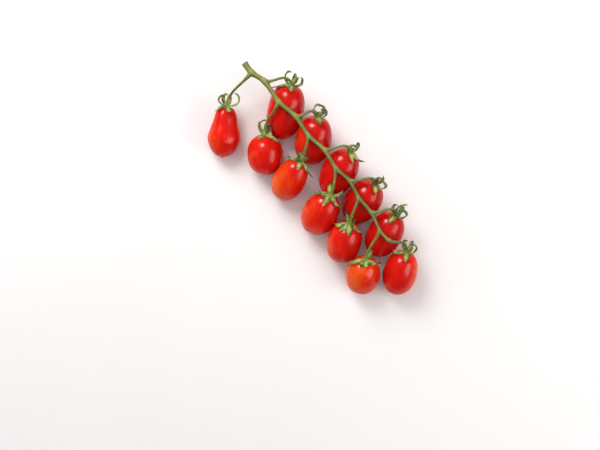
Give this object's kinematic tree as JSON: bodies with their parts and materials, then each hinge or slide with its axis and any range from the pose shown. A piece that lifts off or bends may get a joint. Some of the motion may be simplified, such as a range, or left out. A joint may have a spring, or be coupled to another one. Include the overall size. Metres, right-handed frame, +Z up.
{
  "type": "truss of plum tomatoes",
  "caption": "Small plum tomatoes still on their zigzag green stem, lying flat as cut from the plant, for food and table scenes.",
  "frame": {"origin": "on the surface that the truss lies on, under the middle of its outline seen from above", "axes": "+X along the main stem from its cut end to its tip, +Y to the side of fruits 2, 4, 6, 8, 10 and 12, +Z up"},
  "size_m": [0.1952, 0.0818, 0.0341],
  "materials": {
    "tomato_skin": "gloss",
    "stem_green": "satin",
    "calyx_green": "matte"
  },
  "bodies": {
    "root": {"main_stem": "stem_green", "calyx_01": "calyx_green", "calyx_02": "calyx_green", "calyx_03": "calyx_green", "calyx_04": "calyx_green", "calyx_05": "calyx_green", "calyx_06": "calyx_green", "calyx_07": "calyx_green", "calyx_08": "calyx_green", "calyx_09": "calyx_green", "calyx_10": "calyx_green", "calyx_11": "calyx_green", "calyx_12": "calyx_green", "tomato_01": "tomato_skin", "tomato_02": "tomato_skin", "tomato_03": "tomato_skin", "tomato_04": "tomato_skin", "tomato_05": "tomato_skin", "tomato_06": "tomato_skin", "tomato_07": "tomato_skin", "tomato_08": "tomato_skin", "tomato_09": "tomato_skin", "tomato_10": "tomato_skin", "tomato_11": "tomato_skin", "tomato_12": "tomato_skin"}
  },
  "joints": []
}
